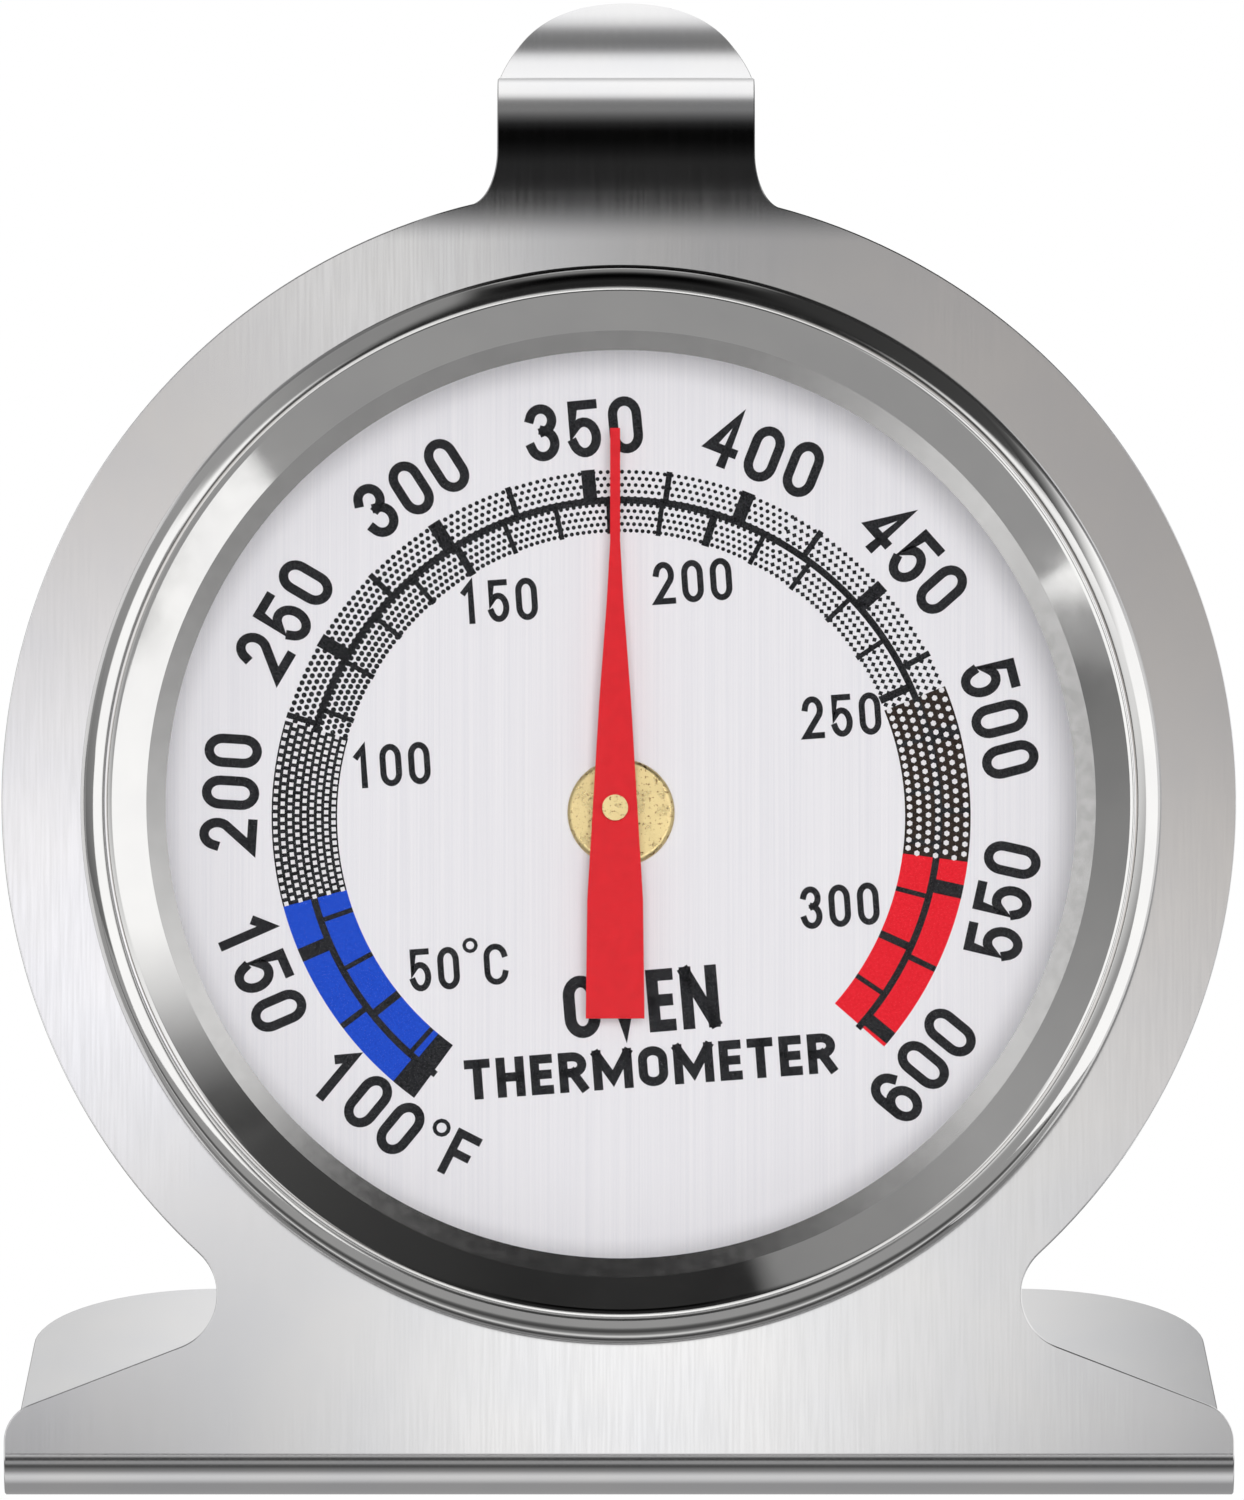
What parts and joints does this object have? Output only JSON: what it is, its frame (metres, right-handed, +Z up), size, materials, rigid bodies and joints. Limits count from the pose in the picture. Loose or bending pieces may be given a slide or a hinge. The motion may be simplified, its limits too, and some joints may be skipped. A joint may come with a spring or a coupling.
{
  "type": "oven thermometer",
  "caption": "Stand-or-hang oven thermometer: round bimetal dial in a pressed steel case on a leaning stainless plate with a folded foot and a rack hook.",
  "frame": {"origin": "centre of the foot's flat underside", "axes": "+Z up from the surface it stands on, the dial looks towards -Y and leans back, +X to the right of somebody reading the dial"},
  "size_m": [0.062, 0.0421, 0.0678],
  "materials": {
    "stainless_stand": "satin, finely brushed",
    "stainless_bezel": "polished",
    "glass": "clear",
    "inner_steel": "plain",
    "dial_face": "satin with printed scale",
    "case_steel": "drawn, satin",
    "brass": "turned",
    "bimetal": "rolled, straw-tinted",
    "rivet_steel": "plain",
    "pointer_red": "semi-gloss enamel"
  },
  "bodies": {
    "case": {"stand": "stainless_stand", "bezel": "stainless_bezel", "window_glass": "glass", "spacer_ring": "inner_steel", "dial_plate": "dial_face", "case_back": "case_steel", "bearing_bush": "brass", "bush_washer": "inner_steel", "coil_bracket": "inner_steel", "bimetal_coil": "bimetal", "coil_rivet": "rivet_steel"},
    "pointer": {"arbor": "brass", "coil_collet": "brass", "pointer_hub": "brass", "pointer": "pointer_red"}
  },
  "joints": [
    {"name": "pointer_turn", "type": "hinge", "parent": "case", "child": "pointer", "pos_m": [-0.0002, -0.00438, 0.03254], "axis": [0, 0.9397, -0.342], "range_deg": [-157, 131], "stiffness_Nm_per_rad": 0.0015, "deforming": ["bimetal_coil"]}
  ]
}
